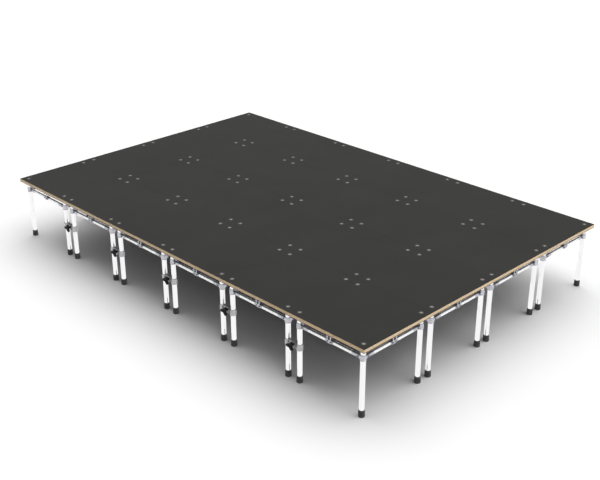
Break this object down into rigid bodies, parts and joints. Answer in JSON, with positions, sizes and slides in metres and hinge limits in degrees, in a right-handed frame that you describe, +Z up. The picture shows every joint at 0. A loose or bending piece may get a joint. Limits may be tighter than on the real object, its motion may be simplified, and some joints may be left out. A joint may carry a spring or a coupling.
{
  "type": "modular stage platform",
  "caption": "Rectangular modular stage: dark square deck boards with plywood edges and flush corner discs, on folding tube risers with ribbed feet and leg clamps.",
  "frame": {"origin": "on the floor under the middle of the stage", "axes": "+X along the long side, +Y along the short side away from the clamped front, +Z up"},
  "size_m": [5.999, 3.999, 0.8],
  "materials": {
    "plywood": "clear lacquered plywood edge",
    "anti_slip": "dark film with a fine anti-slip grain",
    "zinc_steel": "zinc plated",
    "disc_steel": "satin grey",
    "black_plastic": "fine moulded grain",
    "foot_rubber": "moulded ribs",
    "cast_aluminium": "satin casting",
    "tube_aluminium": "bright drawn tube"
  },
  "bodies": {
    "stage": {"centre_hinges": "cast_aluminium", "coupler_back_jaws": "cast_aluminium", "coupler_bolts": "zinc_steel", "coupler_front_jaws": "cast_aluminium", "deck_boards_row_1": "plywood", "deck_boards_row_2": "plywood", "deck_boards_row_3": "plywood", "deck_boards_row_4": "plywood", "leg_feet": "foot_rubber", "leg_front_left_cap": "black_plastic", "leg_front_left_foot": "foot_rubber", "leg_front_left_head": "cast_aluminium", "leg_front_left_pins": "zinc_steel", "leg_front_left_tube": "tube_aluminium", "leg_heads": "cast_aluminium", "leg_tubes": "tube_aluminium", "rail_tubes": "tube_aluminium"},
    "lift_board": {"lift_board_bolts": "disc_steel", "lift_board_core": "plywood", "lift_board_plates": "zinc_steel", "lift_board_skin": "anti_slip"},
    "leg_front_right": {"leg_front_right_tube": "tube_aluminium", "leg_front_right_cap": "black_plastic", "leg_front_right_foot": "foot_rubber", "leg_front_right_head": "cast_aluminium", "leg_front_right_pins": "zinc_steel"},
    "leg_back_left": {"leg_back_left_tube": "tube_aluminium", "leg_back_left_cap": "black_plastic", "leg_back_left_foot": "foot_rubber", "leg_back_left_head": "cast_aluminium", "leg_back_left_pins": "zinc_steel"},
    "leg_back_right": {"leg_back_right_tube": "tube_aluminium", "leg_back_right_cap": "black_plastic", "leg_back_right_foot": "foot_rubber", "leg_back_right_head": "cast_aluminium", "leg_back_right_pins": "zinc_steel"},
    "rail_front_a": {"rail_front_a": "tube_aluminium"},
    "rail_front_b": {"rail_front_b": "tube_aluminium"},
    "hinge_front": {"hinge_front_block": "cast_aluminium", "hinge_front_pins": "zinc_steel"},
    "rail_back_a": {"rail_back_a": "tube_aluminium"},
    "rail_back_b": {"rail_back_b": "tube_aluminium"},
    "hinge_back": {"hinge_back_block": "cast_aluminium", "hinge_back_pins": "zinc_steel"},
    "rail_left_a": {"rail_left_a": "tube_aluminium"},
    "rail_left_b": {"rail_left_b": "tube_aluminium"},
    "hinge_left": {"hinge_left_block": "cast_aluminium", "hinge_left_pins": "zinc_steel"},
    "rail_right_a": {"rail_right_a": "tube_aluminium"},
    "rail_right_b": {"rail_right_b": "tube_aluminium"},
    "hinge_right": {"hinge_right_block": "cast_aluminium", "hinge_right_pins": "zinc_steel"},
    "knob_1": {"coupler_knob_1": "black_plastic"},
    "knob_2": {"coupler_knob_2": "black_plastic"},
    "knob_3": {"coupler_knob_3": "black_plastic"},
    "knob_4": {"coupler_knob_4": "black_plastic"},
    "knob_5": {"coupler_knob_5": "black_plastic"}
  },
  "joints": [
    {"name": "board_lift", "type": "slide", "parent": "stage", "child": "lift_board", "axis": [0, 0, 1], "range_m": [0, 0.3]},
    {"name": "riser_fold_x", "type": "hinge", "parent": "stage", "child": "rail_front_a", "pos_m": [2.131, -1.918, 0.652], "axis": [0, 1, 0], "range_deg": [0, 80]},
    {"name": "front_hinge_in", "type": "hinge", "parent": "rail_front_a", "child": "hinge_front", "pos_m": [2.4765, -1.918, 0.652], "axis": [0, 1, 0], "range_deg": [-80, 0]},
    {"name": "front_hinge_out", "type": "hinge", "parent": "hinge_front", "child": "rail_front_b", "pos_m": [2.5235, -1.918, 0.652], "axis": [0, 1, 0], "range_deg": [-80, 0]},
    {"name": "front_leg_turn", "type": "hinge", "parent": "rail_front_b", "child": "leg_front_right", "pos_m": [2.869, -1.918, 0.652], "axis": [0, 1, 0], "range_deg": [0, 80]},
    {"name": "riser_fold_y", "type": "hinge", "parent": "stage", "child": "rail_left_a", "pos_m": [2.082, -1.869, 0.652], "axis": [-1, 0, 0], "range_deg": [0, 80]},
    {"name": "left_hinge_in", "type": "hinge", "parent": "rail_left_a", "child": "hinge_left", "pos_m": [2.082, -1.5235, 0.652], "axis": [-1, 0, 0], "range_deg": [-80, 0]},
    {"name": "left_hinge_out", "type": "hinge", "parent": "hinge_left", "child": "rail_left_b", "pos_m": [2.082, -1.4765, 0.652], "axis": [-1, 0, 0], "range_deg": [-80, 0]},
    {"name": "left_leg_turn", "type": "hinge", "parent": "rail_left_b", "child": "leg_back_left", "pos_m": [2.082, -1.131, 0.652], "axis": [-1, 0, 0], "range_deg": [0, 80]},
    {"name": "right_a_turn", "type": "hinge", "parent": "leg_front_right", "child": "rail_right_a", "pos_m": [2.918, -1.869, 0.652], "axis": [-1, 0, 0], "range_deg": [0, 80]},
    {"name": "right_hinge_in", "type": "hinge", "parent": "rail_right_a", "child": "hinge_right", "pos_m": [2.918, -1.5235, 0.652], "axis": [-1, 0, 0], "range_deg": [-80, 0]},
    {"name": "right_hinge_out", "type": "hinge", "parent": "hinge_right", "child": "rail_right_b", "pos_m": [2.918, -1.4765, 0.652], "axis": [-1, 0, 0], "range_deg": [-80, 0]},
    {"name": "right_leg_turn", "type": "hinge", "parent": "rail_right_b", "child": "leg_back_right", "pos_m": [2.918, -1.131, 0.652], "axis": [-1, 0, 0], "range_deg": [0, 80]},
    {"name": "back_a_turn", "type": "hinge", "parent": "leg_back_left", "child": "rail_back_a", "pos_m": [2.131, -1.082, 0.652], "axis": [0, 1, 0], "range_deg": [0, 80]},
    {"name": "back_hinge_in", "type": "hinge", "parent": "rail_back_a", "child": "hinge_back", "pos_m": [2.4765, -1.082, 0.652], "axis": [0, 1, 0], "range_deg": [-80, 0]},
    {"name": "back_b_turn", "type": "hinge", "parent": "leg_back_right", "child": "rail_back_b", "pos_m": [2.869, -1.082, 0.652], "axis": [0, 1, 0], "range_deg": [-80, 0]},
    {"name": "knob_1_turn", "type": "hinge", "parent": "stage", "child": "knob_1", "pos_m": [-2, -1.918, 0.408], "axis": [0, -1, 0], "continuous": true},
    {"name": "knob_2_turn", "type": "hinge", "parent": "stage", "child": "knob_2", "pos_m": [-1, -1.918, 0.408], "axis": [0, -1, 0], "continuous": true},
    {"name": "knob_3_turn", "type": "hinge", "parent": "stage", "child": "knob_3", "pos_m": [0, -1.918, 0.408], "axis": [0, -1, 0], "continuous": true},
    {"name": "knob_4_turn", "type": "hinge", "parent": "stage", "child": "knob_4", "pos_m": [1, -1.918, 0.408], "axis": [0, -1, 0], "continuous": true},
    {"name": "knob_5_turn", "type": "hinge", "parent": "stage", "child": "knob_5", "pos_m": [2, -1.918, 0.408], "axis": [0, -1, 0], "continuous": true}
  ],
  "couplings": [
    {"joint": "front_hinge_in", "follows": "riser_fold_x", "ratio": -1},
    {"joint": "front_hinge_out", "follows": "riser_fold_x", "ratio": -1},
    {"joint": "front_leg_turn", "follows": "riser_fold_x", "ratio": 1},
    {"joint": "left_hinge_in", "follows": "riser_fold_y", "ratio": -1},
    {"joint": "left_hinge_out", "follows": "riser_fold_y", "ratio": -1},
    {"joint": "left_leg_turn", "follows": "riser_fold_y", "ratio": 1},
    {"joint": "right_a_turn", "follows": "riser_fold_y", "ratio": 1},
    {"joint": "right_hinge_in", "follows": "riser_fold_y", "ratio": -1},
    {"joint": "right_hinge_out", "follows": "riser_fold_y", "ratio": -1},
    {"joint": "right_leg_turn", "follows": "riser_fold_y", "ratio": 1},
    {"joint": "back_a_turn", "follows": "riser_fold_x", "ratio": 1},
    {"joint": "back_hinge_in", "follows": "riser_fold_x", "ratio": -1},
    {"joint": "back_b_turn", "follows": "riser_fold_x", "ratio": -1}
  ]
}
